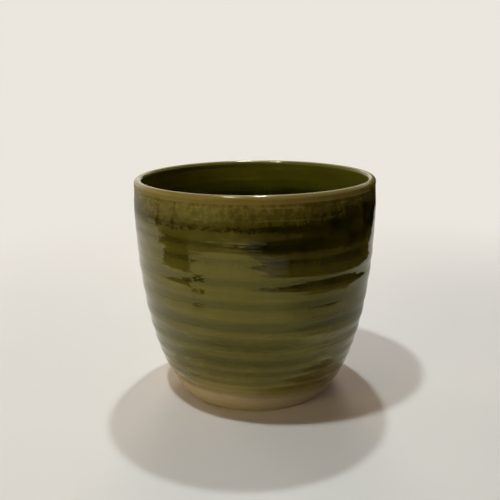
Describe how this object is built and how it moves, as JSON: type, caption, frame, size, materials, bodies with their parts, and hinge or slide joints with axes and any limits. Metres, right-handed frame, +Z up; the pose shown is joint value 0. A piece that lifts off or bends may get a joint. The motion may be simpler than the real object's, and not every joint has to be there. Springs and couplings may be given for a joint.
{
  "type": "handleless cup",
  "caption": "Thrown stoneware cup without a handle: ringed tapering wall, turned foot ring, green glaze over bare clay at the foot, thin amber glaze on the lip.",
  "frame": {"origin": "on the cup's axis, at the level of the foot ring's standing face", "axes": "+Z up along the cup's axis, out of its mouth; +X to the right in the picture; +Y away from the picture's camera"},
  "size_m": [0.0926, 0.0926, 0.0836],
  "materials": {
    "bare_clay": "unglazed buff stoneware, matt and slightly toothy",
    "green_glaze": "glossy transparent olive green, darker where it lies deep in the throwing rings",
    "liner_glaze": "glossy transparent green, pooled dark on the floor",
    "amber_glaze": "glossy, thin over the lip and breaking to amber"
  },
  "bodies": {
    "root": {"clay_body": "bare_clay", "outer_glaze": "green_glaze", "inner_glaze": "liner_glaze", "lip_glaze": "amber_glaze"}
  },
  "joints": []
}
